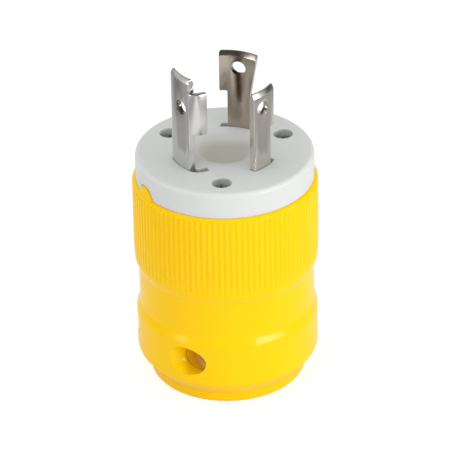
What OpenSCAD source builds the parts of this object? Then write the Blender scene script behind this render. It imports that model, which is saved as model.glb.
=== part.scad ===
// Three-blade locking power plug: a two-colour nylon body with bent blades,
// wiring terminals inside, and a two-jaw cord clamp at the cord end.
// The origin is the centre of the cord end, and +Z runs towards the blades.

/* [Housing outside] */
// Outside diameter of the fluted grip
grip_d = 50; // [48:0.5:54]
// Height from the cord end to the rim of the housing
rim_z = 59.7; // [57:0.1:66]
// Rounding of the rim's outer edge
rim_edge_r = 1.6; // [0.4:0.1:2]
// Distance of the ring that the plug stands on inside the grip's surface
base_step = 3.9; // [3:0.1:5]
// Height of the straight side of that ring
base_h = 2.9; // [2:0.1:4]
// Rounding of the ring's lower edge
base_edge_r = 1.4; // [0.4:0.1:1.8]
// Distance of the bulge round the cord clamp inside the grip's surface
bulge_step = 0.35; // [-1:0.05:1]
// Height at which the bulge's shoulder starts
shoulder_z = 7.6; // [6.5:0.1:9]
// Rounding of the shoulder
shoulder_r = 2.7; // [0.5:0.1:4]
// Height of the bulge's straight side
bulge_h = 12; // [10.5:0.1:14]
// Depth of the finger groove inside the grip's surface
waist_step = 1.2; // [0.5:0.1:1.5]
// Height of the finger groove's floor
waist_h = 11; // [9:0.1:12]
// Height of the slope at each end of the finger groove
slope_h = 2.4; // [1.2:0.1:3]
// Rounding of the finger groove's edges
slope_r = 1.3; // [0.3:0.1:2]
// How much narrower the grip is at its foot
grip_foot = 0.2; // [0.1:0.05:0.4]
// Height of that narrower foot
grip_foot_h = 4.6; // [2:0.1:6]

/* [Grip flutes] */
// Number of flutes round the grip
flute_count = 100; // [60:4:120]
// Depth of each flute
flute_depth = 0.3; // [0.15:0.05:0.5]
// Radius of the round cutter that makes a flute
flute_r = 0.55; // [0.5:0.05:0.7]
// Plain band between the flutes' lower ends and the foot of the grip
flute_margin = 0.7; // [0.3:0.1:3]
// Plain band between the flutes' upper ends and the rim
flute_top_margin = 0.7; // [0.3:0.1:3]

/* [Housing inside] */
// Thickness of the grip round the socket that holds the terminal carrier
grip_wall = 2.5; // [2.2:0.1:2.8]
// Width of the ledge that the terminal carrier stands on
seat_w = 1.3; // [1:0.1:1.5]
// Width of the ledge that the clamp jaws stand on
ledge_w = 5.7; // [4.7:0.1:6.7]
// Thickness of the floor at the cord end
floor_t = 3.2; // [2.4:0.1:4]
// Height of the ledge under the clamp jaws
ledge_z = 8.3; // [7:0.1:8.8]
// Height of the ledge under the terminal carrier
seat_z = 38.5; // [37:0.1:40]
// Diameter of the cord opening
cord_hole_d = 21; // [18:0.5:24]
// Thickness of a screw boss under the screw's tip
boss_floor = 2.2; // [1:0.1:2.6]
// Radius of the screw bosses
boss_r = 3.5; // [3:0.1:4]

/* [Index key] */
// Direction of the key on the rim
key_angle = 208; // [200:1:212]
// Width of the key at its top
key_top_w = 3.2; // [2:0.1:5]
// Width of the key at its foot
key_foot_w = 7.4; // [5:0.1:8]
// Height of the key above the rim
key_h = 2.7; // [2:0.1:4]
// Thickness of the key
key_t = 1.5; // [1:0.1:1.8]
// Distance that the key's face stands inside the grip's surface
key_inset = 0.6; // [0.4:0.05:0.8]
// Rounding of the key's corners
key_r = 0.9; // [0.2:0.1:1.2]

/* [Front body] */
// Distance of the white body inside the grip's surface
face_step = 1; // [0.7:0.1:1.6]
// Height of the white body above the rim
face_h = 7.3; // [6.5:0.1:9]
// Rounding of the face's edge
face_edge_r = 0.8; // [0.2:0.1:1.5]
// Depth of the white body's spigot in the socket
spigot_h = 4.7; // [3.5:0.1:6]
// Diameter of the dished recess in the face
dish_d = 14.6; // [10:0.1:16]
// Depth of the dished recess
dish_h = 2; // [1:0.1:3]
// Width of the dish's sloping side
dish_slope = 2.4; // [0.8:0.1:3]
// Rounding of the dish's rim and of its floor's edge
dish_edge_r = 2; // [0.2:0.1:2.5]

/* [Blades] */
// Diameter of the circle round the outside of the blades
blade_circle_d = 28.8; // [28:0.1:30]
// Thickness of the blades
blade_t = 1.7; // [1.2:0.1:2]
// Height of the line blades above the face
line_blade_h = 22.9; // [19:0.1:25]
// Height of the ground blade above the face
ground_blade_h = 27.2; // [25.5:0.1:30]
// Height of the underside of the locking hooks above the face
hook_z = 11; // [9:0.1:13]
// Width of a hook beyond its blade's stem
hook_w = 2; // [1.5:0.1:2.6]
// Width of the hot blade's stem
hot_w = 6.2; // [4.6:0.1:6.6]
// Width of the neutral blade's stem
neutral_w = 6.3; // [5:0.1:7]
// Width that the neutral blade gains towards its tip
neutral_flare = 2.4; // [0:0.1:2.6]
// Width of the ground blade
ground_w = 8.4; // [7.5:0.1:9.2]
// Direction of the middle of the hot blade's stem
hot_angle = 315.7; // [313:0.1:320]
// Direction of the middle of the neutral blade's stem
neutral_angle = 71.3; // [68:0.1:76]
// Direction of the middle of the ground blade
ground_angle = 212.6; // [210:0.1:217]
// Slope cut on the blades' tips
tip_bevel = 0.5; // [0.1:0.1:0.6]
// Diameter of the latch hole in each blade
latch_hole_d = 4; // [2.5:0.1:4.4]
// Distance of the latch holes' middle below the line blades' tips
latch_drop = 4.9; // [3.5:0.1:6]
// Distance of the ground blade's latch hole from its middle, towards the tab
ground_latch_shift = 1.2; // [-1.5:0.1:1.5]
// Distance of the ground tab's top below the ground blade's tip
tab_drop = 4.1; // [2:0.1:6]
// Bend radius of the ground tab, at the middle of its thickness
tab_bend_r = 2.2; // [1.5:0.1:3]
// Angle through which the ground tab is bent
tab_bend = 59; // [40:1:75]
// Straight length of the ground tab
tab_l = 1.9; // [1:0.1:3]

/* [Terminals] */
// Width of the shoulder on each side of a blade's tail
shoulder_w = 1; // [0.6:0.1:1.3]
// Length of the tails
tail_h = 14; // [13:0.1:14.6]
// Height of the terminal screws' axes below the top of the carrier
terminal_drop = 8; // [7:0.1:8.6]
// Diameter of the terminal screws
terminal_screw_d = 4; // [3:0.1:4.2]
// Diameter of the terminal screws' heads
terminal_head_d = 7.6; // [6:0.1:8]
// Height of the terminal screws' heads
terminal_head_h = 2.8; // [2:0.1:3.4]
// Space for the wire between the blade and its pressure plate
wire_gap = 3.4; // [3:0.1:3.8]
// Diameter of the channels that lead the wires in
wire_d = 2.6; // [1.6:0.1:2.7]
// Width of the funnel round the mouth of each channel
wire_funnel = 1.2; // [0.4:0.1:1.4]
// Width of a pressure plate
plate_w = 10.6; // [10:0.1:11]
// Height of a pressure plate
plate_h = 8.6; // [7.6:0.1:9]
// Thickness of a pressure plate
plate_t = 1.8; // [1.4:0.1:2]

/* [Assembly screws] */
// Distance of the three screws' axes inside the socket's wall
screw_inset = 4.8; // [4.5:0.1:5.2]
// Direction of the first of the three screws
screw_angle = 267; // [264:1:270]
// Diameter of the screws
screw_d = 3.5; // [2.8:0.1:3.7]
// Diameter of their heads
screw_head_d = 4.9; // [4.4:0.1:5]
// Height of their heads
screw_head_h = 2.4; // [1.4:0.1:2.8]
// Depth of the counterbores in the face
counterbore_h = 4; // [3:0.1:4.6]
// Length of thread in the bosses
thread_l = 11; // [8:0.5:11.5]

/* [Cord clamp] */
// Direction that the clamp screws' heads face
clamp_angle = 210; // [205:1:215]
// Height of the clamp screws' axes
clamp_z = 14.1; // [13.8:0.1:15]
// Distance of each clamp screw's axis inside the wall of the wiring space
clamp_inset = 7.5; // [7:0.1:7.8]
// Diameter of the clamp screws
clamp_screw_d = 4; // [3:0.1:4.2]
// Diameter of their heads
clamp_head_d = 7; // [6.2:0.1:7.4]
// Height of their heads
clamp_head_h = 3; // [2.2:0.1:3.2]
// Distance of those heads' tops inside the widest part of the wiring space
clamp_head_inset = 4.8; // [4.4:0.1:5.2]
// Diameter of the access holes for those heads
access_d = 7.8; // [7.6:0.1:9]
// Radius of the scooped mouth of an access hole
scoop_r = 9; // [6:0.5:14]
// Height of the clamp jaws
jaw_h = 12.4; // [11.4:0.1:12.8]
// Diameter of the cord that the jaws grip
cord_d = 17; // [14:0.5:18]
// Gap between the two jaws
jaw_gap = 2.4; // [1:0.1:4]
// Depth of the grip grooves in the jaws
grip_groove = 0.6; // [0.3:0.1:0.9]
// Width across the flats of the clamp nuts
nut_af = 7; // [6:0.1:7.2]
// Height of the clamp nuts
nut_h = 3.2; // [2.4:0.1:3.4]

/* [Fits] */
// Gap round a piece that drops into a pocket
clearance = 0.2; // [0.1:0.05:0.3]
// Gap all round a screw in its thread
thread_gap = 0.05; // [0.02:0.01:0.1]
// Gap all round a screw in a plain hole
screw_gap = 0.2; // [0.1:0.05:0.3]

/* [Hidden] */

$fn = 96;
eps = 0.01;
arc_steps = 6;
flute_sides = 8;
scoop_step = 10;
scoop_turn = 50;

// Driver slot in the screw heads
slot_w = 0.9;
slot_depth = 0.8;

// The tab's bend starts this many degrees inside the blade, and the tab is thinner
// than the blade by this much on each side
tab_root = 8;
tab_thin = 0.05;

yellow = [0.98, 0.80, 0.02];
white = [0.90, 0.91, 0.90];
nickel = [0.66, 0.63, 0.59];
steel = [0.72, 0.72, 0.71];
brass = [0.78, 0.62, 0.30];

// Outside of the housing
grip_r = grip_d / 2;
base_r = grip_r - base_step;
bulge_r = grip_r - bulge_step;
waist_r = grip_r - waist_step;
bulge_top_z = shoulder_z + bulge_h;
waist_low_z = bulge_top_z + slope_h;
waist_top_z = waist_low_z + waist_h;
grip_low_z = waist_top_z + slope_h;
flute_low_z = grip_low_z + flute_margin;
flute_top_z = rim_z - flute_top_margin;

// Inside of the housing
socket_r = grip_r - grip_wall;
cavity_r = socket_r - seat_w;
well_r = cavity_r - ledge_w;
cord_hole_r = cord_hole_d / 2;
inner_edge_r = 0.8;

// Front body and terminal carrier
face_r = grip_r - face_step;
face_z = rim_z + face_h;
carrier_top_z = rim_z - spigot_h;
insert_r = socket_r - clearance;

// Blades
blade_out_r = blade_circle_d / 2;
blade_in_r = blade_out_r - blade_t;
blade_mid_r = blade_out_r - blade_t / 2;
tail_top_z = carrier_top_z;
tail_low_z = tail_top_z - tail_h;
tab_low_z = face_z + hook_z;
tab_top_z = face_z + ground_blade_h - tab_drop;
latch_z = face_z + line_blade_h - latch_drop;
blade_reach = blade_out_r + 2;

// Terminals
terminal_z = carrier_top_z - terminal_drop;
plate_out_r = blade_in_r - wire_gap;
plate_in_r = plate_out_r - plate_t;
screw_past_plate = 1.5;
screw_tip_r = plate_in_r - screw_past_plate;
pocket_w = plate_w + 2 * clearance;
pocket_h = plate_h + 2 * clearance;
wire_r = wire_d / 2;
wire_side = terminal_screw_d / 2 + clearance + wire_r;
wire_at_r = (plate_out_r + sqrt(pow(blade_in_r, 2) - pow(wire_side, 2))) / 2;

// Assembly screws
screw_circle_r = socket_r - screw_inset;
counterbore_r = screw_head_d / 2 + clearance;
head_seat_z = face_z - counterbore_h;
screw_tip_z = seat_z - thread_l;
screw_angles = [for (i = [0 : 2]) screw_angle + 120 * i];
boss_slope = 0.6;
boss_wall_r = cavity_r + 1;
boss_inner_r = screw_circle_r - boss_r;
boss_low_z = screw_tip_z - boss_floor - (boss_wall_r - screw_circle_r) * boss_slope;

// Cord clamp
access_r = access_d / 2;
scoop_inset = 2.1;
clamp_offset = cavity_r - clamp_inset;
clamp_head_top = cavity_r - clamp_head_inset;
clamp_seat = clamp_head_top - clamp_head_h;
scoop_from = clamp_head_top + scoop_inset;
jaw_out_r = cavity_r - clearance;
cord_r = cord_d / 2;
nut_face = sqrt(pow(cavity_r, 2) - pow(clamp_offset + nut_af / 2, 2)) - clearance;
clamp_tip = nut_face + 1;
groove_count = 3;

// Points of one corner, rounded to radius r but never past half of a side
function unit(v) = v / norm(v);
function corner(a, b, c, r) =
    let (u = unit(a - b), v = unit(c - b),
         half = acos(max(-1, min(1, u * v))) / 2,
         room = 0.49 * min(norm(a - b), norm(c - b)),
         q = min(r, room * tan(half)),
         t = q / tan(half),
         mid = b + unit(u + v) * (q / sin(half)),
         s = b + u * t - mid,
         e = b + v * t - mid,
         from = atan2(s.y, s.x),
         turn = (atan2(e.y, e.x) - from + 540) % 360 - 180)
    [for (i = [0 : arc_steps])
        mid + q * [cos(from + turn * i / arc_steps), sin(from + turn * i / arc_steps)]];

// Outline through corners given as [x, y, rounding]
function rounded(pts) =
    let (n = len(pts), at = [for (p = pts) [p.x, p.y]])
    [for (i = [0 : n - 1])
        each (pts[i][2] > 0
            ? corner(at[(i + n - 1) % n], at[i], at[(i + 1) % n], pts[i][2])
            : [at[i]])];

// Half-section of the housing, from the cord hole round to the floor
housing_section = rounded([
    [cord_hole_r, 0, 1],
    [base_r, 0, base_edge_r],
    [base_r, base_h, 0.6],
    [bulge_r, shoulder_z, shoulder_r],
    [bulge_r, bulge_top_z, slope_r],
    [waist_r, waist_low_z, slope_r],
    [waist_r, waist_top_z, slope_r],
    [grip_r - grip_foot, grip_low_z, slope_r],
    [grip_r, grip_low_z + grip_foot_h, 0],
    [grip_r, rim_z, rim_edge_r],
    [socket_r, rim_z, 0.3],
    [socket_r, seat_z, 0],
    [cavity_r, seat_z, 0],
    [cavity_r, ledge_z, 0],
    [well_r, ledge_z, inner_edge_r],
    [well_r, floor_t, inner_edge_r],
    [cord_hole_r, floor_t, 0.4]]);

// Half-section of the front body, with its spigot
front_section = rounded([
    [0, carrier_top_z, 0],
    [insert_r, carrier_top_z, 0.3],
    [insert_r, rim_z, 0],
    [face_r, rim_z, 0],
    [face_r, face_z, face_edge_r],
    [dish_d / 2, face_z, dish_edge_r],
    [dish_d / 2 - dish_slope, face_z - dish_h, dish_edge_r],
    [0, face_z - dish_h, 0]]);

// Half-section of a blade's wall, bevelled at its tip
function blade_section(top, low) = [
    [blade_in_r, low],
    [blade_out_r, low],
    [blade_out_r, top - 2 * tip_bevel],
    [blade_out_r - tip_bevel, top],
    [blade_in_r + tip_bevel, top],
    [blade_in_r, top - 2 * tip_bevel]];

// Puts a flat outline, drawn in width and height, on the side at angle a
module facing(a, from, to)
    rotate([0, 0, a + 90])
        rotate([90, 0, 0])
            translate([0, 0, from])
                linear_extrude(to - from)
                    children();

// Places what is drawn along +X at angle a and height z
module radial(a, z) rotate([0, 0, a]) translate([0, 0, z]) rotate([0, 90, 0]) children();

// Slotted screw along +Z with its head's underside at 0
module screw(d, l, head_d, head_h, tip = 0.5)
    difference() {
        union() {
            rotate_extrude()
                polygon(rounded([
                    [0, 0, 0], [head_d / 2, 0, 0],
                    [head_d / 2, head_h, head_h / 3], [0, head_h, 0]]));
            translate([0, 0, -l])
                rotate_extrude()
                    polygon([[0, 0], [d / 2 - tip, 0], [d / 2, tip], [d / 2, l + eps], [0, l + eps]]);
        }
        translate([-head_d, -slot_w / 2, head_h - slot_depth])
            cube([2 * head_d, slot_w, slot_depth + 1]);
    }

// Blade outlines, in width along the circle and height
function stem_outline(w, top) = rounded([
    [-w / 2, tail_top_z - eps, 0],
    [w / 2, tail_top_z - eps, 0],
    [w / 2, top, 0.5],
    [-w / 2, top, 0.5]]);

function hook_outline(w, top, flare) = rounded([
    [-w / 2, tail_top_z - eps, 0],
    [w / 2, tail_top_z - eps, 0],
    [w / 2, tab_low_z, 0.4],
    [w / 2 + hook_w, tab_low_z, 0.4],
    [w / 2 + hook_w, top, 0.4],
    [-w / 2 - flare, top, 0.4],
    [-w / 2, tab_low_z - 1.4, 0]]);

// Direction of the point that lies a distance s along the blade circle from angle a
function side_angle(a, s) = a + asin(s / blade_mid_r);

hot_tail_angle = side_angle(hot_angle, hook_w / 2);
neutral_tail_angle = side_angle(neutral_angle, (hook_w - neutral_flare) / 2);
hot_span = hot_w + hook_w;
neutral_span = neutral_w + hook_w + neutral_flare;

// One blade: the wall within the first child, and a tab as the second if it has one,
// with a shouldered tail at angle tail_a and a latch hole at angle hole_a
module blade(tail_a, hole_a, top, span)
    difference() {
        union() {
            intersection() {
                rotate_extrude() polygon(blade_section(top, tail_low_z));
                union() {
                    children(0);
                    facing(tail_a, 0, blade_reach)
                        translate([-span / 2 - shoulder_w, tail_low_z])
                            square([span + 2 * shoulder_w, tail_h]);
                }
            }
            if ($children > 1) children(1);
        }
        radial(hole_a, latch_z)
            cylinder(d = latch_hole_d, h = blade_reach);
        radial(tail_a, terminal_z)
            cylinder(d = terminal_screw_d + 2 * screw_gap, h = blade_reach);
    }

// Plan of the ground blade's tab: a bend rooted in the blade's edge, and a straight end
module tab_plan(grow = 0) {
    half_t = blade_t / 2 - tab_thin + grow;
    rotate(side_angle(ground_angle, ground_w / 2))
        translate([blade_mid_r - tab_bend_r, 0]) {
            intersection() {
                difference() {
                    circle(tab_bend_r + half_t);
                    circle(tab_bend_r - half_t);
                }
                polygon(concat([[0, 0]],
                    [for (t = [-tab_root, tab_bend / 2, tab_bend])
                        3 * tab_bend_r * [cos(t), sin(t)]]));
            }
            rotate(tab_bend)
                translate([tab_bend_r - half_t, 0])
                    square([2 * half_t, tab_l + grow]);
        }
}

module ground_blade() color(nickel)
    blade(ground_angle, side_angle(ground_angle, ground_latch_shift),
          face_z + ground_blade_h, ground_w) {
        facing(ground_angle, 0, blade_reach)
            polygon(stem_outline(ground_w, face_z + ground_blade_h));
        translate([0, 0, tab_low_z])
            linear_extrude(tab_top_z - tab_low_z)
                tab_plan();
    }

module hot_blade() color(nickel)
    blade(hot_tail_angle, hot_angle, face_z + line_blade_h, hot_span)
        facing(hot_angle, 0, blade_reach)
            polygon(hook_outline(hot_w, face_z + line_blade_h, 0));

module neutral_blade() color(nickel)
    blade(neutral_tail_angle, neutral_angle, face_z + line_blade_h, neutral_span)
        facing(neutral_angle, 0, blade_reach)
            polygon(hook_outline(neutral_w, face_z + line_blade_h, neutral_flare));

// Upright slot for a blade, cut from one height to another
module blade_slot(a, span, from, to)
    intersection() {
        translate([0, 0, from])
            difference() {
                cylinder(r = blade_out_r + clearance, h = to - from);
                translate([0, 0, -1])
                    cylinder(r = blade_in_r - clearance, h = to - from + 2);
            }
        facing(a, 0, blade_reach)
            translate([-span / 2 - clearance, from])
                square([span + 2 * clearance, to - from]);
    }

// Each blade's tail as [angle, span of the part above it]
tails = [
    [ground_angle, ground_w],
    [hot_tail_angle, hot_span],
    [neutral_tail_angle, neutral_span]];

// Index key and the notch that it fits
module key(grow = 0) {
    out_r = grip_r - key_inset;
    in_r = out_r - key_t - grow;
    low = rim_z - rim_edge_r;
    foot = key_foot_w / 2 + grow;
    top = key_top_w / 2 + grow;
    intersection() {
        translate([0, 0, low])
            difference() {
                cylinder(r = grow > 0 ? grip_r : out_r, h = key_h + rim_edge_r + 1);
                translate([0, 0, -1])
                    cylinder(r = in_r, h = key_h + rim_edge_r + 3);
            }
        facing(key_angle, 0, grip_r + 1)
            polygon(rounded([
                [-foot, low, 0], [foot, low, 0], [foot, rim_z, 0],
                [top, rim_z + key_h + grow, key_r],
                [-top, rim_z + key_h + grow, key_r],
                [-foot, rim_z, 0]]));
    }
}

module flutes()
    for (i = [0 : flute_count - 1])
        rotate([0, 0, (i + 0.5) * 360 / flute_count])
            translate([grip_r - flute_depth + flute_r, 0, flute_low_z])
                cylinder(r = flute_r, h = flute_top_z - flute_low_z, $fn = flute_sides);

// Boss for an assembly screw, gusseted down to the wall
module boss(a)
    intersection() {
        rotate([0, 0, a])
            translate([screw_circle_r, 0, boss_low_z]) {
                cylinder(r = boss_r, h = seat_z - boss_low_z);
                translate([0, -boss_r, 0])
                    cube([boss_wall_r - screw_circle_r, 2 * boss_r, seat_z - boss_low_z]);
            }
        rotate_extrude()
            polygon([
                [boss_inner_r - 1, seat_z + 1],
                [boss_wall_r + 1, seat_z + 1],
                [boss_wall_r + 1, boss_low_z - boss_slope],
                [boss_inner_r - 1, boss_low_z + (boss_wall_r - boss_inner_r + 1) * boss_slope]]);
    }

// Access hole to a clamp screw, with a mouth that flares where the wall falls away
module access_hole(side)
    rotate([0, 0, clamp_angle])
        translate([0, side * clamp_offset, clamp_z])
            rotate([0, 90, 0])
                rotate_extrude()
                    polygon(concat(
                        [[0, clamp_seat - clearance], [access_r, clamp_seat - clearance]],
                        [for (t = [0 : scoop_step : scoop_turn])
                            [access_r + scoop_r * (1 - cos(t)), scoop_from + scoop_r * sin(t)]],
                        [[access_r + grip_r, scoop_from + grip_r], [0, scoop_from + grip_r]]));

module housing() color(yellow)
    difference() {
        union() {
            difference() {
                rotate_extrude() polygon(housing_section);
                flutes();
            }
            for (a = screw_angles) boss(a);
            key();
        }
        for (a = screw_angles)
            rotate([0, 0, a])
                translate([screw_circle_r, 0, screw_tip_z - clearance])
                    cylinder(d = screw_d + 2 * thread_gap, h = thread_l + 1);
        for (side = [-1, 1]) access_hole(side);
    }

module front_body() color(white)
    difference() {
        rotate_extrude() polygon(front_section);
        for (a = screw_angles)
            rotate([0, 0, a])
                translate([screw_circle_r, 0, 0]) {
                    translate([0, 0, head_seat_z])
                        cylinder(r = counterbore_r, h = counterbore_h + 1);
                    cylinder(d = screw_d + 2 * screw_gap, h = face_z);
                }
        for (t = tails) blade_slot(t[0], t[1], carrier_top_z - 1, face_z + 1);
        translate([0, 0, carrier_top_z - 1])
            linear_extrude(face_z - carrier_top_z + 2)
                tab_plan(clearance);
        key(clearance);
    }

module terminal_carrier() color(white)
    difference() {
        translate([0, 0, seat_z])
            cylinder(r = insert_r, h = carrier_top_z - seat_z);
        for (t = tails) {
            blade_slot(t[0], t[1] + 2 * shoulder_w, tail_low_z - clearance, carrier_top_z + 1);
            rotate([0, 0, t[0]]) {
                translate([plate_in_r - clearance, -pocket_w / 2, terminal_z - pocket_h / 2])
                    cube([socket_r, pocket_w, pocket_h]);
                for (side = [-1, 1])
                    translate([wire_at_r, side * wire_side, seat_z - 1]) {
                        cylinder(r = wire_r, h = terminal_z - seat_z);
                        cylinder(r1 = wire_r + wire_funnel + 1, r2 = wire_r, h = wire_funnel + 1);
                    }
            }
            radial(t[0], terminal_z)
                translate([0, 0, screw_tip_r - 1])
                    cylinder(d = terminal_screw_d + 2 * screw_gap, h = socket_r);
        }
        for (a = screw_angles)
            rotate([0, 0, a])
                translate([screw_circle_r, 0, seat_z - 1])
                    cylinder(d = screw_d + 2 * screw_gap, h = carrier_top_z - seat_z + 2);
    }

module terminal_screw(t) color(brass)
    radial(t[0], terminal_z)
        translate([0, 0, blade_out_r])
            screw(terminal_screw_d, blade_out_r - screw_tip_r, terminal_head_d, terminal_head_h);

module pressure_plate(t) color(brass)
    difference() {
        rotate([0, 0, t[0]])
            translate([plate_in_r, -plate_w / 2, terminal_z - plate_h / 2])
                cube([plate_t, plate_w, plate_h]);
        radial(t[0], terminal_z)
            cylinder(d = terminal_screw_d + 2 * thread_gap, h = blade_in_r);
    }

// The slots in the three heads stop at different angles
module face_screw(i) color(steel)
    rotate([0, 0, screw_angles[i]])
        translate([screw_circle_r, 0, head_seat_z])
            rotate([0, 0, 25 + 40 * i])
                screw(screw_d, head_seat_z - screw_tip_z, screw_head_d, screw_head_h);

// One half of the cord clamp, from its parting face outwards along +X
module clamp_jaw() {
    groove_pitch = jaw_h / (groove_count + 1);
    difference() {
        intersection() {
            translate([0, 0, ledge_z]) cylinder(r = jaw_out_r, h = jaw_h);
            translate([jaw_gap / 2, -cavity_r, ledge_z - 1])
                cube([cavity_r, 2 * cavity_r, jaw_h + 2]);
        }
        translate([0, 0, ledge_z - 1]) cylinder(r = cord_r, h = jaw_h + 2);
        for (i = [1 : groove_count])
            translate([0, 0, ledge_z + i * groove_pitch])
                rotate_extrude()
                    polygon([
                        [0, -1.5 * grip_groove], [cord_r, -1.5 * grip_groove],
                        [cord_r + grip_groove, 0],
                        [cord_r, 1.5 * grip_groove], [0, 1.5 * grip_groove]]);
        for (side = [-1, 1])
            translate([0, side * clamp_offset, clamp_z])
                rotate([0, 90, 0])
                    cylinder(d = clamp_screw_d + 2 * screw_gap, h = cavity_r);
    }
}

module clamp_jaw_head_side() color(yellow)
    rotate([0, 0, clamp_angle])
        difference() {
            clamp_jaw();
            for (side = [-1, 1])
                translate([clamp_seat, side * clamp_offset, clamp_z])
                    rotate([0, 90, 0])
                        cylinder(r = access_r, h = cavity_r);
        }

// Nut blank along +X, with two flats facing sideways
module nut_blank(af, from, to)
    translate([from, 0, 0])
        rotate([0, 90, 0])
            cylinder(d = af / cos(30), h = to - from, $fn = 6);

module clamp_jaw_nut_side() color(yellow)
    rotate([0, 0, clamp_angle + 180])
        difference() {
            clamp_jaw();
            for (side = [-1, 1])
                translate([0, side * clamp_offset, clamp_z])
                    nut_blank(nut_af + 2 * thread_gap, nut_face - nut_h, cavity_r);
        }

module clamp_screw(side) color(steel)
    rotate([0, 0, clamp_angle])
        translate([clamp_seat, side * clamp_offset, clamp_z])
            rotate([0, 90, 0])
                rotate([0, 0, 55 + 20 * side])
                    screw(clamp_screw_d, clamp_seat + clamp_tip, clamp_head_d, clamp_head_h);

module clamp_nut(side) color(steel)
    rotate([0, 0, clamp_angle + 180])
        translate([0, -side * clamp_offset, clamp_z])
            difference() {
                nut_blank(nut_af, nut_face - nut_h, nut_face);
                rotate([0, 90, 0])
                    cylinder(d = clamp_screw_d + 2 * thread_gap, h = cavity_r);
            }

housing();
front_body();
terminal_carrier();
ground_blade();
hot_blade();
neutral_blade();
terminal_screw(tails[0]);  // ground_terminal_screw
terminal_screw(tails[1]);  // hot_terminal_screw
terminal_screw(tails[2]);  // neutral_terminal_screw
pressure_plate(tails[0]);  // ground_pressure_plate
pressure_plate(tails[1]);  // hot_pressure_plate
pressure_plate(tails[2]);  // neutral_pressure_plate
face_screw(0);  // face_screw_1
face_screw(1);  // face_screw_2
face_screw(2);  // face_screw_3
clamp_jaw_head_side();
clamp_jaw_nut_side();
clamp_screw(-1);  // clamp_screw_left
clamp_screw(1);  // clamp_screw_right
clamp_nut(-1);  // clamp_nut_left
clamp_nut(1);  // clamp_nut_right
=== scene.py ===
import math
import bmesh
import bpy
from mathutils import Matrix, Vector


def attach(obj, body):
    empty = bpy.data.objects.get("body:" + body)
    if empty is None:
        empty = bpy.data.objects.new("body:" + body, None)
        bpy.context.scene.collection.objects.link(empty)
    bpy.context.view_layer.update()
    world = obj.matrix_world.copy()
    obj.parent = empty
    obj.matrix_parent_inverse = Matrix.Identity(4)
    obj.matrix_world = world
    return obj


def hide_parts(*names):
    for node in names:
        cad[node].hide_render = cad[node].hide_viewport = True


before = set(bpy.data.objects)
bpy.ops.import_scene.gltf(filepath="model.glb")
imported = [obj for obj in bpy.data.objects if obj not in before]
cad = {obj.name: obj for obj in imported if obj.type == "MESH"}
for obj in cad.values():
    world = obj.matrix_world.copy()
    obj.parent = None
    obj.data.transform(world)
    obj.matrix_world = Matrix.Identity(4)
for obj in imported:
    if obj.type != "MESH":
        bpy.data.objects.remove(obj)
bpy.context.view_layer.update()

# Housing: the yellow outer shell that the hand grips.
# One glossy nylon moulding, cored out from the blade end, with a fluted grip, a finger groove
# and a bulge over the cord clamp. Its section is turned, then the flutes and holes are cut.
MM = 0.001  # sizes here are in millimetres
GRIP_R = 25.0
SOCKET_R = 22.5
CAVITY_R = 21.2
RIM_Z = 59.7
SEAT_Z = 38.5
HOUSING_CORNERS = [  # radius, height, rounding
    (10.5, 0, 1.0), (21.1, 0, 1.4),  # cord opening and standing ring
    (21.1, 2.9, 0.6), (24.65, 7.6, 2.7), (24.65, 19.6, 1.3),  # shoulder and bulge
    (23.8, 22.0, 1.3), (23.8, 33.0, 1.3), (24.8, 35.4, 0.9),  # finger groove
    (GRIP_R, 40.0, 0), (GRIP_R, RIM_Z, 1.6),  # grip and rim
    (SOCKET_R, RIM_Z, 0.3), (SOCKET_R, SEAT_Z, 0),  # socket for the front body
    (CAVITY_R, SEAT_Z, 0), (CAVITY_R, 8.3, 0),  # wiring space
    (15.5, 8.3, 0.8), (15.5, 3.2, 0.8), (10.5, 3.2, 0.4)]  # well for the clamp
FLUTES = 100
FLUTE_COLUMNS = 8
FLUTE_R = 0.55
FLUTE_DEPTH = 0.3
FLUTE_LOW_Z = 36.1
FLUTE_TOP_Z = 59.0
FLUTE_RUNOUT = 0.35
BULGE_ROWS = range(5, 23)

# how finely round shapes are divided, and what counts as the same, as touching or as an edge
SEGMENTS_PER_MM = 4
ROD_SEGMENTS = 64
HOLE_SEGMENTS = 40
CORNER_SEGMENTS = 5
BEND_STEP = 0.5
SAME_POINT = 0.0005
TOUCH = 0.01
OVERCUT = 1
EDGE_ANGLE = 20  # degrees
FLAT_ANGLE = 0.01  # radians


def round_corner(bm, corner, offset, segments):
    """Rounds one corner of a wire outline."""
    bmesh.ops.bevel(bm, geom=[corner], affect="VERTICES", offset_type="OFFSET", offset=offset,
                    segments=segments, profile=0.5, material=-1)


def break_edges(bm, edges, offset):
    """Takes the sharpness off some edges, as tumbling or a mould's parting does."""
    bmesh.ops.bevel(bm, geom=edges, affect="EDGES", offset_type="OFFSET", offset=offset,
                    segments=2, profile=0.5, material=-1)


def cut(bm, at, facing, drop=False):
    """Splits a mesh along a plane, and drops what lies in front of it if told to."""
    bmesh.ops.bisect_plane(bm, geom=bm.verts[:] + bm.edges[:] + bm.faces[:], plane_co=at,
                           plane_no=facing, clear_outer=drop)


def section(corners, closed=True):
    """Half-section of a moulding as a wire, its corners rounded."""
    bm = bmesh.new()
    points = [bm.verts.new((r, 0, z)) for r, z, _ in corners]
    for a, b in zip(points, points[1:]):
        bm.edges.new((a, b))
    if closed:
        bm.edges.new((points[-1], points[0]))
    for point, (_, _, rounding) in zip(points, corners):
        if rounding:
            a, b = [e.other_vert(point).co - point.co for e in point.link_edges]
            round_corner(bm, point, rounding / math.tan(a.angle(b) / 2),
                         max(3, round(rounding * SEGMENTS_PER_MM)))
    return bm


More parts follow.
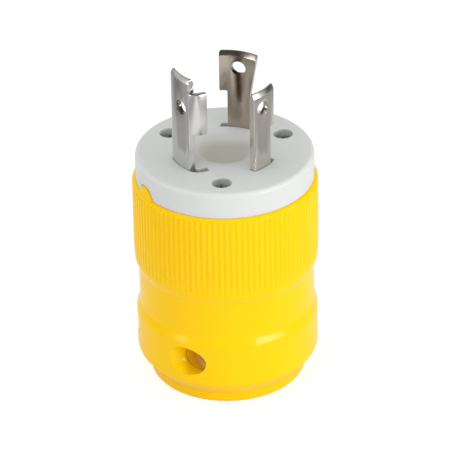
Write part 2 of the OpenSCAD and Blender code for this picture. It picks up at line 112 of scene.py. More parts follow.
def turn(bm, steps):
    """Turns a section round the plug's axis into a closed skin."""
    bmesh.ops.spin(bm, geom=bm.verts[:] + bm.edges[:], cent=(0, 0, 0), axis=(0, 0, 1),
                   angle=math.tau, steps=steps, use_merge=True)
    bmesh.ops.remove_doubles(bm, verts=bm.verts[:], dist=SAME_POINT)
    bmesh.ops.recalc_face_normals(bm, faces=bm.faces[:])
    return bm


def swing(bm, angle, verts=None):
    """Turns a shape round the plug's axis, by degrees."""
    bmesh.ops.rotate(bm, cent=(0, 0, 0), matrix=Matrix.Rotation(math.radians(angle), 3, "Z"),
                     verts=verts or bm.verts[:])


def polar(angle, radius):
    """Point of the plan at an angle in degrees."""
    return Vector((radius * math.cos(math.radians(angle)),
                   radius * math.sin(math.radians(angle))))


def piece(name, bm):
    """Turns a shape drawn in millimetres into an object of the scene."""
    bmesh.ops.scale(bm, vec=(MM, MM, MM), verts=bm.verts[:])
    mesh = bpy.data.meshes.new(name)
    bm.to_mesh(mesh)
    bm.free()
    made = bpy.data.objects.new(name, mesh)
    bpy.context.scene.collection.objects.link(made)
    return made


def carve(body, bm, operation="DIFFERENCE"):
    """Cuts a shape out of a piece, or welds it on."""
    tool = piece("tool", bm)
    step = body.modifiers.new("carve", "BOOLEAN")
    step.object = tool
    step.operation = operation
    step.solver = "MANIFOLD"
    bpy.context.view_layer.update()
    shaped = bpy.data.meshes.new_from_object(
        body.evaluated_get(bpy.context.evaluated_depsgraph_get()))
    body.modifiers.clear()
    body.data = shaped
    bpy.data.objects.remove(tool)


def soften(body, crease=32):
    """Smooth shading that keeps the piece's real edges, those sharper than crease degrees."""
    for face in body.data.polygons:
        face.use_smooth = True
    body.data.set_sharp_from_angle(angle=math.radians(crease))


def rod(radius, low, high, at):
    """Upright round bar, for bosses and holes."""
    bm = bmesh.new()
    bmesh.ops.create_cone(bm, cap_ends=True, segments=ROD_SEGMENTS, radius1=radius,
                          radius2=radius, depth=high - low)
    bmesh.ops.translate(bm, vec=(*at, (low + high) / 2), verts=bm.verts[:])
    return bm


def thicken(bm, vec):
    """Pulls a flat or swept sheet out into a solid."""
    raised = bmesh.ops.extrude_face_region(bm, geom=bm.faces[:], use_keep_orig=True)["geom"]
    bmesh.ops.translate(bm, vec=vec,
                        verts=[v for v in raised if isinstance(v, bmesh.types.BMVert)])
    bmesh.ops.recalc_face_normals(bm, faces=bm.faces[:])


def plate(outline, inner_r, outer_r, holes=(), tip=0.0, edge=0.12):
    """Plate cut to an outline of (width, height, rounding) corners, with round holes of
    (width, height, radius), its top edges sloped by tip and the rest broken by edge."""
    bm = bmesh.new()
    corners = [bm.verts.new((inner_r, y, z)) for y, z, _ in outline]
    for a, b in zip(corners, corners[1:] + corners[:1]):
        bm.edges.new((a, b))
    for corner, (_, _, rounding) in zip(corners, outline):
        if rounding:
            round_corner(bm, corner, rounding, CORNER_SEGMENTS)
    for y, z, radius in holes:
        bmesh.ops.create_circle(bm, segments=HOLE_SEGMENTS, radius=radius,
                                matrix=Matrix.Translation((inner_r, y, z))
                                @ Matrix.Rotation(math.pi / 2, 4, "Y"))
    bmesh.ops.triangle_fill(bm, edges=bm.edges[:], use_beauty=True)
    bmesh.ops.dissolve_limit(bm, angle_limit=FLAT_ANGLE, verts=bm.verts[:], edges=bm.edges[:])
    thicken(bm, (outer_r - inner_r, 0, 0))
    if tip:
        top = max(v.co.z for v in bm.verts)
        for face_r, way in ((outer_r, 1), (inner_r, -1)):
            cut(bm, (face_r, 0, top - 2 * tip), (2 * way, 0, 1), drop=True)
            bmesh.ops.holes_fill(bm, edges=[e for e in bm.edges if e.is_boundary], sides=0)
        bmesh.ops.recalc_face_normals(bm, faces=bm.faces[:])
    if edge:
        break_edges(bm, [e for e in bm.edges if len(e.link_faces) == 2
                         and e.calc_face_angle(0) > math.radians(EDGE_ANGLE)
                         and any(abs(abs(f.normal.x) - 1) < TOUCH for f in e.link_faces)], edge)
    return bm


def wrap(bm, angle):
    """Bends a flat plate round the plug's axis and turns it to its direction."""
    ends = [v.co.y for v in bm.verts]
    for i in range(1, int((max(ends) - min(ends)) / BEND_STEP)):
        cut(bm, (0, min(ends) + i * BEND_STEP, 0), (0, 1, 0))
    for v in bm.verts:
        v.co.x = math.sqrt(v.co.x ** 2 - v.co.y ** 2)
    swing(bm, angle)
    return bm


housing_skin = section(HOUSING_CORNERS)
for z in (FLUTE_LOW_Z, FLUTE_LOW_Z + FLUTE_RUNOUT, FLUTE_TOP_Z - FLUTE_RUNOUT, *BULGE_ROWS):
    cut(housing_skin, (0, 0, z), (0, 0, 1))
turn(housing_skin, FLUTES * FLUTE_COLUMNS)
for v in housing_skin.verts:
    reach = math.hypot(v.co.x, v.co.y)
    if reach > GRIP_R - 2 * FLUTE_R and FLUTE_LOW_Z + TOUCH < v.co.z < FLUTE_TOP_Z - TOUCH:
        column = round(math.atan2(v.co.y, v.co.x) / math.tau * FLUTES * FLUTE_COLUMNS)
        across = (column % FLUTE_COLUMNS / FLUTE_COLUMNS - 0.5) * math.tau * GRIP_R / FLUTES
        if abs(across) < FLUTE_R:
            sunk = math.sqrt(FLUTE_R ** 2 - across ** 2) - FLUTE_R + FLUTE_DEPTH
            v.co.xy *= min(1, (GRIP_R - max(0, sunk)) / reach)
housing = piece("housing_shell", housing_skin)

# index key that stands on the rim, in a notch of the white body
KEY_ANGLE = 208
KEY_LOW_Z = 58.1
KEY_TOP_Z = 62.4
KEY_FOOT = 3.7
KEY_TOP = 1.6
KEY_ROUND = 0.9
KEY_EDGE = 0.25
KEY_IN_R = 22.9
KEY_OUT_R = 24.4


def key_shape(grow=0.0):
    """Outline of the key, wider at its foot than at its top."""
    foot, top = KEY_FOOT + grow, KEY_TOP + grow
    return [(-foot, KEY_LOW_Z, 0), (foot, KEY_LOW_Z, 0), (foot, RIM_Z, 0),
            (top, KEY_TOP_Z + grow, KEY_ROUND), (-top, KEY_TOP_Z + grow, KEY_ROUND),
            (-foot, RIM_Z, 0)]


carve(housing, wrap(plate(key_shape(), KEY_IN_R, KEY_OUT_R, edge=KEY_EDGE), KEY_ANGLE), "UNION")

# bosses for the three long assembly screws, gusseted to the wall
SCREW_CIRCLE_R = 17.7
SCREW_ANGLES = (267, 27, 147)
BOSS_R = 3.5
BOSS_LOW_Z = 23.2
BOSS_BACK_R = CAVITY_R + 0.6
BOSS_SLOPE = 0.6
BOSS_MIDDLE = 0.1
PILOT_R = 1.8
PILOT_LOW_Z = 27.3
for angle in SCREW_ANGLES:
    boss = rod(BOSS_R, BOSS_LOW_Z, SEAT_Z, at=(SCREW_CIRCLE_R, 0))
    for v in boss.verts:
        if v.co.x > SCREW_CIRCLE_R + BOSS_MIDDLE:
            v.co.x = BOSS_BACK_R
            if abs(v.co.y) > BOSS_MIDDLE:
                v.co.y = math.copysign(BOSS_R, v.co.y)
    bmesh.ops.remove_doubles(boss, verts=boss.verts[:], dist=2 * SAME_POINT)
    for v in boss.verts:
        if v.co.z < SEAT_Z - OVERCUT:
            v.co.z += (BOSS_BACK_R - v.co.x) * BOSS_SLOPE
    swing(boss, angle)
    carve(housing, boss, "UNION")
    carve(housing, rod(PILOT_R, PILOT_LOW_Z, SEAT_Z + OVERCUT, at=polar(angle, SCREW_CIRCLE_R)))

# access holes to the clamp screws, with scooped mouths
CLAMP_ANGLE = 210
CLAMP_OFFSET = 13.7
CLAMP_Z = 14.1
ACCESS_R = 3.9
ACCESS_FROM = 13.2
ACCESS_STEPS = 96
SCOOP_R = 9.0
SCOOP_FROM = 18.5
SCOOP_ARC = range(0, 55, 3)  # degrees
for side in (-1, 1):
    mouth = bmesh.new()
    reach = [(0.0, ACCESS_FROM), (ACCESS_R, ACCESS_FROM)]
    reach += [(ACCESS_R + SCOOP_R * (1 - math.cos(t)), SCOOP_FROM + SCOOP_R * math.sin(t))
              for t in [math.radians(a) for a in SCOOP_ARC]]
    reach += [(0.0, reach[-1][1])]
    points = [mouth.verts.new((r, 0, s)) for r, s in reach]
    for a, b in zip(points, points[1:]):
        mouth.edges.new((a, b))
    turn(mouth, ACCESS_STEPS)
    bmesh.ops.transform(
        mouth, verts=mouth.verts[:],
        matrix=Matrix.Rotation(math.radians(CLAMP_ANGLE), 4, "Z")
        @ Matrix.Translation((0, side * CLAMP_OFFSET, CLAMP_Z))
        @ Matrix.Rotation(math.pi / 2, 4, "Y"))
    carve(housing, mouth)
soften(housing)

# moulded nylon: how many patches or grains to a metre, and how far each one goes
NYLON_DRIFT = 60
NYLON_DRIFT_SHARE = 0.02
GLOSS_PATCHES = 140
GLOSS_DOWN = 0.05
GLOSS_UP = 0.06
GRAIN = 2600
GRAIN_HEIGHT = 0.05
EDGE_SAMPLES = 6
BLEED = (1.0, 0.9, 0.8)
BLEED_REACH = 2.0
# share of the dish's painted shade that stays at full strength
DISH_SHADE_CORE = 0.3
YELLOW = (0.98, 0.60, 0.001)


def node(tree, kind, inputs=None, out=None, **settings):
    """Adds a node, fills its inputs with values or with other nodes' results, and hands back
    its own result: the output named, or else its first one in use."""
    made = tree.nodes.new("ShaderNode" + kind)
    for name, value in settings.items():
        setattr(made, name, value)
    for socket, value in (inputs or {}).items():
        if isinstance(value, bpy.types.NodeSocket):
            tree.links.new(value, made.inputs[socket])
        else:
            made.inputs[socket].default_value = value
    return made.outputs[out] if out else next(o for o in made.outputs if o.enabled)


def fade(tree, value, span=(0.0, 1.0), ends=(0.0, 1.0), smooth=False):
    """Turns a value into the first end below its span, the second past it, and between them."""
    return node(tree, "MapRange", {"Value": value, "From Min": span[0], "From Max": span[1],
                                   "To Min": ends[0], "To Max": ends[1]},
                interpolation_type="SMOOTHSTEP" if smooth else "LINEAR")


def blend_colour(tree, first, second, share):
    """Goes from the first colour to the second as the share grows."""
    return node(tree, "Mix", {"A": first, "B": second, "Factor": share}, data_type="RGBA")


def tint(tree, colour, spread, scale, place):
    """Colour that drifts a little over the piece."""
    return blend_colour(tree, (*[c * (1 - spread) for c in colour], 1),
                        (*[min(1, c * (1 + spread)) for c in colour], 1),
                        node(tree, "TexNoise", {"Scale": scale, "Detail": 3, "Vector": place}))


def nylon(name, colour, gloss, edge=0.25, specular=0.4, depth=0.0, texture=0.06, middle_shade=None):
    """Moulded nylon: faint mould texture, drifting gloss and edges that catch the light.
    Depth lets light bleed through it, and middle_shade is (colour, radius) of a painted shade and
    reflection that darkens the middle."""
    made = bpy.data.materials.new(name)
    made.use_nodes = True
    tree = made.node_tree
    shader = tree.nodes["Principled BSDF"].inputs
    place = node(tree, "TexCoord", out="Object")
    plastic = tint(tree, colour, NYLON_DRIFT_SHARE, NYLON_DRIFT, place)
    # painted shade and reflection: the colour turns darker and warmer towards the middle
    if middle_shade:
        middle_shade_colour, middle_shade_r = middle_shade
        flat = node(tree, "VectorMath", {0: place, 1: (1, 1, 0)}, operation="MULTIPLY")
        inside = fade(tree, node(tree, "VectorMath", {0: flat}, operation="LENGTH"),
                      (DISH_SHADE_CORE * middle_shade_r * MM, middle_shade_r * MM), (1.0, 0.0), smooth=True)
        plastic = blend_colour(tree, plastic, (*middle_shade_colour, 1), inside)
    tree.links.new(plastic, shader["Base Color"])
    patches = node(tree, "TexNoise", {"Scale": GLOSS_PATCHES, "Detail": 4, "Vector": place})
    tree.links.new(fade(tree, patches, ends=(gloss - GLOSS_DOWN, gloss + GLOSS_UP)),
                   shader["Roughness"])
    bumped = node(tree, "Bump", {
        "Strength": texture, "Distance": GRAIN_HEIGHT * MM,
        "Height": node(tree, "TexNoise", {"Scale": GRAIN, "Detail": 2, "Vector": place}),
        "Normal": node(tree, "Bevel", {"Radius": edge * MM}, samples=EDGE_SAMPLES)})
    tree.links.new(bumped, shader["Normal"])
    shader["Specular IOR Level"].default_value = specular
    if depth:
        shader["Subsurface Weight"].default_value = depth
        shader["Subsurface Radius"].default_value = BLEED
        shader["Subsurface Scale"].default_value = BLEED_REACH * MM
    return made


housing.data.materials.clear()
housing.data.materials.append(nylon("yellow_nylon", YELLOW, gloss=0.12, edge=0.3,
                                    specular=0.16, texture=0.03))
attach(housing, "root")
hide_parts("housing")

# Front body: the white face that carries the blades.
# Satin nylon, slightly translucent. It sits on the housing's rim with a spigot in the socket, and
# is turned, then cut for the three screws, the blades, the bent tab and the key.
FACE_Z = 67.0
FACE_R = 24.0
FACE_STEPS = 256
INSERT_R = 22.3
CARRIER_TOP_Z = 55.0
DISH_R = 7.3
DISH_SLOPE = 2.4
DISH_EDGE_R = 1.5
DISH_DEPTH = 2.0
SPIGOT_ROUND = 0.3
WHITE = (0.66, 0.675, 0.66)
# painted shade and reflection in the dish: the face turns darker and warmer towards its middle,
# for the blades' shadow and reflection
DISH_SHADE_WHITE = (0.51, 0.50, 0.43)
DISH_SHADE_R = 11
CLEARANCE = 0.2
SLOT_GAP = 0.05
NOTCH_IN_R = 22.7
NOTCH_OUT_R = 26.0
RIM_R = 1.1
HEAD_SEAT_Z = 63.0
COUNTERBORE_R = 2.65
SCREW_HOLE_R = 1.95
BLADE_IN_R = 12.7
BLADE_OUT_R = 14.4
BLADE_MID_R = (BLADE_IN_R + BLADE_OUT_R) / 2
GROUND_ANGLE = 212.6
GROUND_W = 8.4
HOT_ANGLE = 315.7
HOT_W = 6.2
NEUTRAL_ANGLE = 71.3
NEUTRAL_W = 6.3
NEUTRAL_FLARE = 2.4
HOOK_W = 2.0
TAB_BEND_R = 2.2
TAB_BEND = 59
TAB_BEND_STEPS = 16
TAB_L = 1.9
TAB_ROOT = 8
TAB_THIN = 0.05
TAB_EDGE_ANGLE = 40


def along(angle, distance):
    """Direction of a point a distance along the blade circle."""
    return angle + math.degrees(math.asin(distance / BLADE_MID_R))


def bent_tab(low, high, grow=0.0, edge=0.0):
    """The ground blade's tab: a strip swept round its bend, then straight, and raised."""
    bm = bmesh.new()
    half_t = (BLADE_OUT_R - BLADE_IN_R) / 2 - TAB_THIN + grow
    ends = [bm.verts.new((TAB_BEND_R + side * half_t, 0, low)) for side in (-1, 1)]
    start = bm.edges.new(ends)
    swing(bm, -TAB_ROOT, ends)
    bent = bmesh.ops.spin(bm, geom=ends + [start], cent=(0, 0, 0), axis=(0, 0, 1),
                          angle=math.radians(TAB_BEND + TAB_ROOT),
                          steps=TAB_BEND_STEPS)["geom_last"]
    straight = bmesh.ops.extrude_edge_only(
        bm, edges=[g for g in bent if isinstance(g, bmesh.types.BMEdge)])["geom"]
    way = Vector((-math.sin(math.radians(TAB_BEND)), math.cos(math.radians(TAB_BEND)), 0))
    bmesh.ops.translate(bm, vec=way * (TAB_L + grow),
                        verts=[v for v in straight if isinstance(v, bmesh.types.BMVert)])
    thicken(bm, (0, 0, high - low))
    if edge:
        break_edges(bm, [e for e in bm.edges
                         if e.calc_face_angle(0) > math.radians(TAB_EDGE_ANGLE)], edge)
    bmesh.ops.translate(bm, vec=(BLADE_MID_R - TAB_BEND_R, 0, 0), verts=bm.verts[:])
    swing(bm, along(GROUND_ANGLE, GROUND_W / 2))
    return bm


def slot_cutter(angle, width):
    """Curved slab that opens a blade's slot through the face."""
    half = width / 2 + SLOT_GAP
    low, high = CARRIER_TOP_Z - OVERCUT, FACE_Z + OVERCUT
    return wrap(plate([(-half, low, 0), (half, low, 0), (half, high, 0), (-half, high, 0)],
                      BLADE_IN_R - SLOT_GAP, BLADE_OUT_R + SLOT_GAP, edge=0), angle)


front = piece("front_face", turn(section([
    (0, CARRIER_TOP_Z, 0), (INSERT_R, CARRIER_TOP_Z, SPIGOT_ROUND), (INSERT_R, RIM_Z, 0),
    (FACE_R, RIM_Z, 0), (FACE_R, FACE_Z, RIM_R), (DISH_R, FACE_Z, DISH_EDGE_R),
    (DISH_R - DISH_SLOPE, FACE_Z - DISH_DEPTH, DISH_EDGE_R), (0, FACE_Z - DISH_DEPTH, 0)],
    closed=False), FACE_STEPS))
for angle in SCREW_ANGLES:
    at = polar(angle, SCREW_CIRCLE_R)
    carve(front, rod(COUNTERBORE_R, HEAD_SEAT_Z, FACE_Z + OVERCUT, at=at))
    carve(front, rod(SCREW_HOLE_R, CARRIER_TOP_Z - OVERCUT, HEAD_SEAT_Z + OVERCUT, at=at))
carve(front, slot_cutter(GROUND_ANGLE, GROUND_W))
carve(front, bent_tab(CARRIER_TOP_Z - OVERCUT, FACE_Z + OVERCUT, CLEARANCE))
carve(front, slot_cutter(along(HOT_ANGLE, HOOK_W / 2), HOT_W + HOOK_W))
carve(front, slot_cutter(along(NEUTRAL_ANGLE, (HOOK_W - NEUTRAL_FLARE) / 2),
                         NEUTRAL_W + HOOK_W + NEUTRAL_FLARE))
carve(front, wrap(plate(key_shape(CLEARANCE), NOTCH_IN_R, NOTCH_OUT_R, edge=0), KEY_ANGLE))
soften(front)
front.data.materials.clear()
front.data.materials.append(nylon("white_nylon", WHITE, gloss=0.36, edge=0.25, specular=0.35,
                                  depth=0.25, middle_shade=(DISH_SHADE_WHITE, DISH_SHADE_R)))
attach(front, "root")
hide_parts("front_body")

# Blades: three bent contacts that carry the current and lock the plug.
# Stamped from brass strip, curved to the blade circle and nickel-plated. Each is trapped by its
# shouldered tail between the front body and the terminal carrier.
TAIL_LOW_Z = 41.0
TAIL_ROUND = 0.3
TERMINAL_Z = 47.0
TERMINAL_HOLE_R = 2.2
SHOULDER_W = 1.0
HOOK_Z = FACE_Z + 11.0
HOOK_ROUND = 0.4
FLARE_H = 1.4
LINE_TOP_Z = FACE_Z + 22.9
GROUND_TOP_Z = FACE_Z + 27.2
GROUND_ROUND = 0.5
LATCH_Z = FACE_Z + 18.0
LATCH_R = 2.0
GROUND_LATCH_Y = 1.2
TIP_BEVEL = 0.65
TAB_TOP_Z = GROUND_TOP_Z - 4.1
TAB_EDGE = 0.15
BLADE_CREASE = 24
BLADE_GLOSS = 0.2

# drawn metal: how many patches or lines to a metre, how long the lines are and how far they go
PLATING_DRIFT = 90
PLATING_DRIFT_SHARE = 0.06
DRAW_LINES = 2500
DRAW_STRETCH = 0.03
DRAW_DEPTH = 0.03
DRAW_BUMP = 0.05
SHINE_DOWN = 0.05
SHINE_UP = 0.08
GROUND_NICKEL = (0.70, 0.69, 0.67)
# painted reflections: the ground blade darker high up, for the room mirrored in it, and a dark
# band on the neutral blade, for the other blades mirrored in it
GROUND_PAINTED_BAND = ((0.40, 0.395, 0.36), 80, 96, 3.4)  # colour, lowest, highest, half width
HOT_NICKEL = (0.68, 0.64, 0.59)
# the neutral blade's nickel is painted darker and browner, a painted reflection of the other
# blades in its hollow side
NEUTRAL_NICKEL_WITH_REFLECTION = (0.48, 0.425, 0.35)
NEUTRAL_PAINTED_BAND = ((0.16, 0.105, 0.06), 73, 91, 2.2)


def reflection_share(tree, place, angle, low_z, high_z, half_width):
    """Share of a painted reflection down a blade: a soft patch, long and narrow."""
    side = node(tree, "VectorMath", {0: place, 1: (-math.sin(angle), math.cos(angle), 0)},
                out="Value", operation="DOT_PRODUCT")
    across = fade(tree, node(tree, "Math", {0: side}, operation="ABSOLUTE"),
                  (0.0, half_width * MM), (1.0, 0.0), smooth=True)
    up = node(tree, "Math", {0: node(tree, "SeparateXYZ", {"Vector": place}, out="Z"),
                             1: (low_z + high_z) / 2 * MM}, operation="SUBTRACT")
    length = fade(tree, node(tree, "Math", {0: up}, operation="ABSOLUTE"),
                  ((high_z - low_z) / 4 * MM, (high_z - low_z) / 2 * MM), (1.0, 0.0),
                  smooth=True)
    return node(tree, "Math", {0: across, 1: length}, operation="MULTIPLY")


def drawn_metal(name, colour, gloss, angle=0.0, painted_band=None):
    """Drawn metal: faint lines along it, an uneven shine and a painted reflection, a dark band on
    it.
    """
    made = bpy.data.materials.new(name)
    made.use_nodes = True
    tree = made.node_tree
    shader = tree.nodes["Principled BSDF"].inputs
    shader["Metallic"].default_value = 1.0
    place = node(tree, "TexCoord", out="Object")
    plating = tint(tree, colour, PLATING_DRIFT_SHARE, PLATING_DRIFT, place)
    if painted_band:
        # painted reflection: a dark band blended into the plating
        plating = blend_colour(tree, plating, (*painted_band[0], 1),
                               reflection_share(tree, place, angle, *painted_band[1:]))
    tree.links.new(plating, shader["Base Color"])
    lines = node(tree, "Mapping", {"Vector": place, "Scale": (1, 1, DRAW_STRETCH)})
    drawn = node(tree, "TexNoise", {"Scale": DRAW_LINES, "Detail": 3, "Vector": lines})
    tree.links.new(fade(tree, drawn, ends=(gloss - SHINE_DOWN, gloss + SHINE_UP)),
                   shader["Roughness"])
    tree.links.new(node(tree, "Bump", {"Strength": DRAW_BUMP, "Distance": DRAW_DEPTH * MM,
                                       "Height": drawn}), shader["Normal"])
    return made


def blade(name, angle, stem, tail_y, span, latch_y):
    """One blade: its stem's outline and shouldered tail in one piece of strip."""
    half = span / 2 + SHOULDER_W
    tail = [(tail_y - half, CARRIER_TOP_Z, 0), (tail_y - half, TAIL_LOW_Z, TAIL_ROUND),
            (tail_y + half, TAIL_LOW_Z, TAIL_ROUND), (tail_y + half, CARRIER_TOP_Z, 0)]
    return piece(name, wrap(plate(
        tail + stem, BLADE_IN_R, BLADE_OUT_R, tip=TIP_BEVEL,
        holes=[(latch_y, LATCH_Z, LATCH_R), (tail_y, TERMINAL_Z, TERMINAL_HOLE_R)]), angle))


def finish_blade(made, cad_node, colour, angle, painted_band=None):
    """Shades a blade, plates it and gives it its place among the parts."""
    soften(made, crease=BLADE_CREASE)
    made.data.materials.clear()
    made.data.materials.append(drawn_metal(cad_node + "_nickel", colour, BLADE_GLOSS,
                                           angle=math.radians(angle), painted_band=painted_band))
    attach(made, "root")
    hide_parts(cad_node)


def hooked_stem(width, flare):
    """Outline of a line blade, with its locking hook on one side and its flare on the other."""
    half = width / 2
    return [(half, CARRIER_TOP_Z, 0), (half, HOOK_Z, HOOK_ROUND),
            (half + HOOK_W, HOOK_Z, HOOK_ROUND), (half + HOOK_W, LINE_TOP_Z, HOOK_ROUND),
            (-half - flare, LINE_TOP_Z, HOOK_ROUND), (-half, HOOK_Z - FLARE_H, 0),
            (-half, CARRIER_TOP_Z, 0)]


ground = blade("ground_blade_plated", GROUND_ANGLE,
               [(GROUND_W / 2, CARRIER_TOP_Z, 0), (GROUND_W / 2, GROUND_TOP_Z, GROUND_ROUND),
                (-GROUND_W / 2, GROUND_TOP_Z, GROUND_ROUND), (-GROUND_W / 2, CARRIER_TOP_Z, 0)],
               0, GROUND_W, GROUND_LATCH_Y)
carve(ground, bent_tab(HOOK_Z, TAB_TOP_Z, edge=TAB_EDGE), "UNION")
finish_blade(ground, "ground_blade", GROUND_NICKEL, GROUND_ANGLE, painted_band=GROUND_PAINTED_BAND)
hot = blade("hot_blade_plated", HOT_ANGLE, hooked_stem(HOT_W, 0),
            HOOK_W / 2, HOT_W + HOOK_W, 0)
finish_blade(hot, "hot_blade", HOT_NICKEL, HOT_ANGLE)
neutral = blade("neutral_blade_plated", NEUTRAL_ANGLE, hooked_stem(NEUTRAL_W, NEUTRAL_FLARE),
                (HOOK_W - NEUTRAL_FLARE) / 2, NEUTRAL_W + HOOK_W + NEUTRAL_FLARE, 0)
finish_blade(neutral, "neutral_blade", NEUTRAL_NICKEL_WITH_REFLECTION, NEUTRAL_ANGLE, painted_band=NEUTRAL_PAINTED_BAND)

# Terminal carrier: the inner moulding that holds the blades' tails and the terminals.
# Plain white nylon, trapped between the front body and the ledge in the housing.
INNER_WHITE = (0.55, 0.56, 0.54)
inner_nylon = nylon("inner_nylon", INNER_WHITE, gloss=0.5)
cad["terminal_carrier"].material_slots[0].material = inner_nylon

# Terminals: a brass screw and a threaded pressure plate behind each blade.
# Turned and stamped brass, bare and a little dull. They are fitted from the carrier's side.
BRASS = (0.62, 0.44, 0.16)
terminal_brass = drawn_metal("terminal_brass", BRASS, gloss=0.32)
for contact in ("ground", "hot", "neutral"):
    for part in ("terminal_screw", "pressure_plate"):
        cad[f"{contact}_{part}"].material_slots[0].material = terminal_brass

# Screws and nuts: three long assembly screws in the face, and two screws and nuts in the clamp.
# Zinc-plated steel with slotted heads, driven from outside. The face screws' zinc is painted
# darker, as shade in their counterbores, and the clamp screws' zinc is painted lighter, as light
# in the access holes.
# painted shade: the face screws' zinc is darkened for the shade at the bottom of their
# counterbores
SHADED_ZINC = (0.42, 0.42, 0.42)
# painted light: the clamp screws' and nuts' zinc is brightened to catch light inside the shaded
# access holes
LIT_ZINC = (0.85, 0.85, 0.85)
shaded_zinc = drawn_metal("shaded_zinc", SHADED_ZINC, gloss=0.28)
for name in ("face_screw_1", "face_screw_2", "face_screw_3"):
    cad[name].material_slots[0].material = shaded_zinc
lit_zinc = drawn_metal("lit_zinc", LIT_ZINC, gloss=0.3)
for name in ("clamp_screw_left", "clamp_screw_right", "clamp_nut_left", "clamp_nut_right"):
    cad[name].material_slots[0].material = lit_zinc

# Clamp jaws: the two halves that grip the cord inside the bulge.
# Matt yellow nylon, drawn together by the clamp screws.
JAW_YELLOW = (0.97, 0.52, 0.001)
jaw_nylon = nylon("jaw_nylon", JAW_YELLOW, gloss=0.5, specular=0.17)
for name in ("clamp_jaw_head_side", "clamp_jaw_nut_side"):
    cad[name].material_slots[0].material = jaw_nylon

# Camera: a long lens in front of the plug, above its face and tilted down at it.
# It aims a hair to the side of the axis and is rolled by a degree.
TARGET = Vector((-0.27 * MM, 0, FACE_Z * MM))
DISTANCE = 1.1
ELEVATION = math.radians(29.70)
LOOK_DOWN = math.radians(30.75)
ROLL = math.radians(-1.065)
LENS = 329.4
camera = bpy.data.objects.new("camera", bpy.data.cameras.new("camera"))
bpy.context.scene.collection.objects.link(camera)
camera.data.lens = LENS
camera.data.clip_start, camera.data.clip_end = 0.05, 20
camera.matrix_world = (
    Matrix.Translation(TARGET + DISTANCE * Vector((0, -math.cos(ELEVATION), math.sin(ELEVATION))))
    @ Matrix.Rotation(math.pi / 2 - LOOK_DOWN, 4, "X") @ Matrix.Rotation(ROLL, 4, "Z"))
bpy.context.scene.camera = camera

# Floor: a wide white sweep that keeps a soft shadow under the plug.
# Seen directly it glows to white. In reflections it is paper that turns greyer to both sides,
# and it lights the plug as plain light grey. It lies a hair under the standing ring.
FLOOR_GAP = 0.05
FLOOR_HALF = 3000
TABLE_GREY = 0.8
PAPER_X = (0.06, 0.16)
PAPER_GREYS = (0.95, 0.4)
SHADOW_GREY = (0.3, 0.3, 0.3, 1)
GLOW = 0.8


def direct_rays(tree):
    """1 for what is seen directly or through a clear piece, 0 for light and reflections."""
    return node(tree, "Math", {0: node(tree, "LightPath", out="Is Camera Ray"),
                               1: node(tree, "LightPath", out="Is Transmission Ray")},
                operation="MAXIMUM")


floor_bm = bmesh.new()
bmesh.ops.create_grid(floor_bm, x_segments=1, y_segments=1, size=FLOOR_HALF,
                      matrix=Matrix.Translation((0, 0, -FLOOR_GAP)))
floor = piece("floor", floor_bm)
sweep = bpy.data.materials.new("white_sweep")
sweep.use_nodes = True
tree = sweep.node_tree
tree.nodes.remove(tree.nodes["Principled BSDF"])
side_x = node(tree, "SeparateXYZ", {"Vector": node(tree, "TexCoord", out="Object")}, out="X")
paper = fade(tree, node(tree, "Math", {0: side_x}, operation="ABSOLUTE"), PAPER_X, PAPER_GREYS)
grey = node(tree, "Mix", {"A": TABLE_GREY, "B": paper,
                          "Factor": node(tree, "LightPath", out="Is Glossy Ray")})
shown = node(tree, "AddShader", {0: node(tree, "BsdfDiffuse", {"Color": SHADOW_GREY}),
                                 1: node(tree, "Emission", {"Strength": GLOW})})
surface = node(tree, "MixShader", {"Fac": direct_rays(tree), 2: shown,
                                   1: node(tree, "BsdfDiffuse", {"Color": grey})})
tree.links.new(surface, tree.nodes["Material Output"].inputs["Surface"])
floor.data.materials.append(sweep)

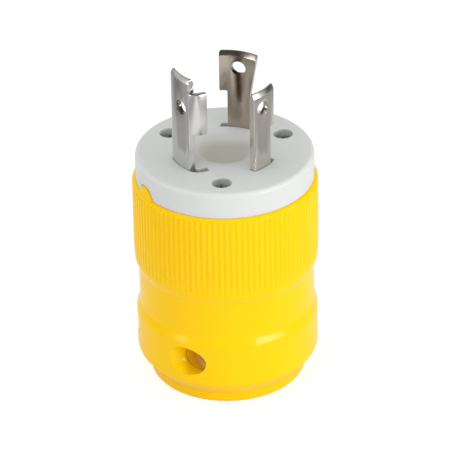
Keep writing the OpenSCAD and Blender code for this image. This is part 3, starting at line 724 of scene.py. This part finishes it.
# Studio room: pale all round and lighter overhead, as the plug is lit by it.
# Reflections see white walls under a dark ceiling, a back wall that stays grey higher up, and a
# dark screen at the back on the right: these give the blades their bright and dark bands.
ROOM_GREYS = (0.5, 0.82)
CEILING_Z = (0.05, 0.3)
CEILING_GREYS = (1.0, 0.05)
BACK_WALL_Y = (0.65, 0.85)
BACK_WALL_GREYS = (0.0, 0.4)
SCREEN_WAY = (0.78, 0.62, 0)
SCREEN_EDGE = (0.72, 0.88)
SCREEN_GREYS = (1.0, 0.05)
world = bpy.data.worlds.new("studio")
world.use_nodes = True
bpy.context.scene.world = world
tree = world.node_tree
way = node(tree, "TexCoord", out="Generated")
way_y = node(tree, "SeparateXYZ", {"Vector": way}, out="Y")
way_z = node(tree, "SeparateXYZ", {"Vector": way}, out="Z")
walls = node(tree, "Math", {0: fade(tree, way_z, CEILING_Z, CEILING_GREYS),
                            1: fade(tree, way_y, BACK_WALL_Y, BACK_WALL_GREYS)},
             operation="MAXIMUM")
to_screen = node(tree, "VectorMath", {0: way, 1: SCREEN_WAY}, out="Value",
                 operation="DOT_PRODUCT")
mirrored = node(tree, "Math", {0: walls, 1: fade(tree, to_screen, SCREEN_EDGE, SCREEN_GREYS)},
                operation="MULTIPLY")
indirect = node(tree, "Mix", {"A": fade(tree, way_z, ends=ROOM_GREYS), "B": mirrored,
                              "Factor": node(tree, "LightPath", out="Is Glossy Ray")})
level = node(tree, "Mix", {"A": indirect, "B": 1.0, "Factor": direct_rays(tree)})
room = tree.nodes["Background"].inputs
tree.links.new(level, room["Strength"])
room["Color"].default_value = (1, 1, 1, 1)

# Softboxes: a long key box at the front right, a weaker one at the front left and a wide one
# overhead, all turned to the plug's lower half.
LAMP_TARGET = Vector((0, 0, 0.05))
SOFTBOXES = [  # name, place, width, height, watts
    ("key_right", (0.89, -0.65, 0.17), 0.80, 0.26, 7.2),
    ("fill_left", (-0.98, -0.50, 0.17), 0.47, 0.26, 2.1),
    ("top", (-0.25, -0.2, 1.2), 1.3, 1.3, 4.0)]
for name, place, width, height, watts in SOFTBOXES:
    lamp = bpy.data.objects.new(name, bpy.data.lights.new(name, "AREA"))
    lamp.data.shape = "RECTANGLE"
    lamp.data.size, lamp.data.size_y = width, height
    lamp.data.energy = watts
    bpy.context.scene.collection.objects.link(lamp)
    turned = (LAMP_TARGET - Vector(place)).to_track_quat("-Z", "Y")
    lamp.matrix_world = Matrix.Translation(Vector(place)) @ turned.to_matrix().to_4x4()

view = bpy.context.scene.view_settings
view.view_transform = "Standard"
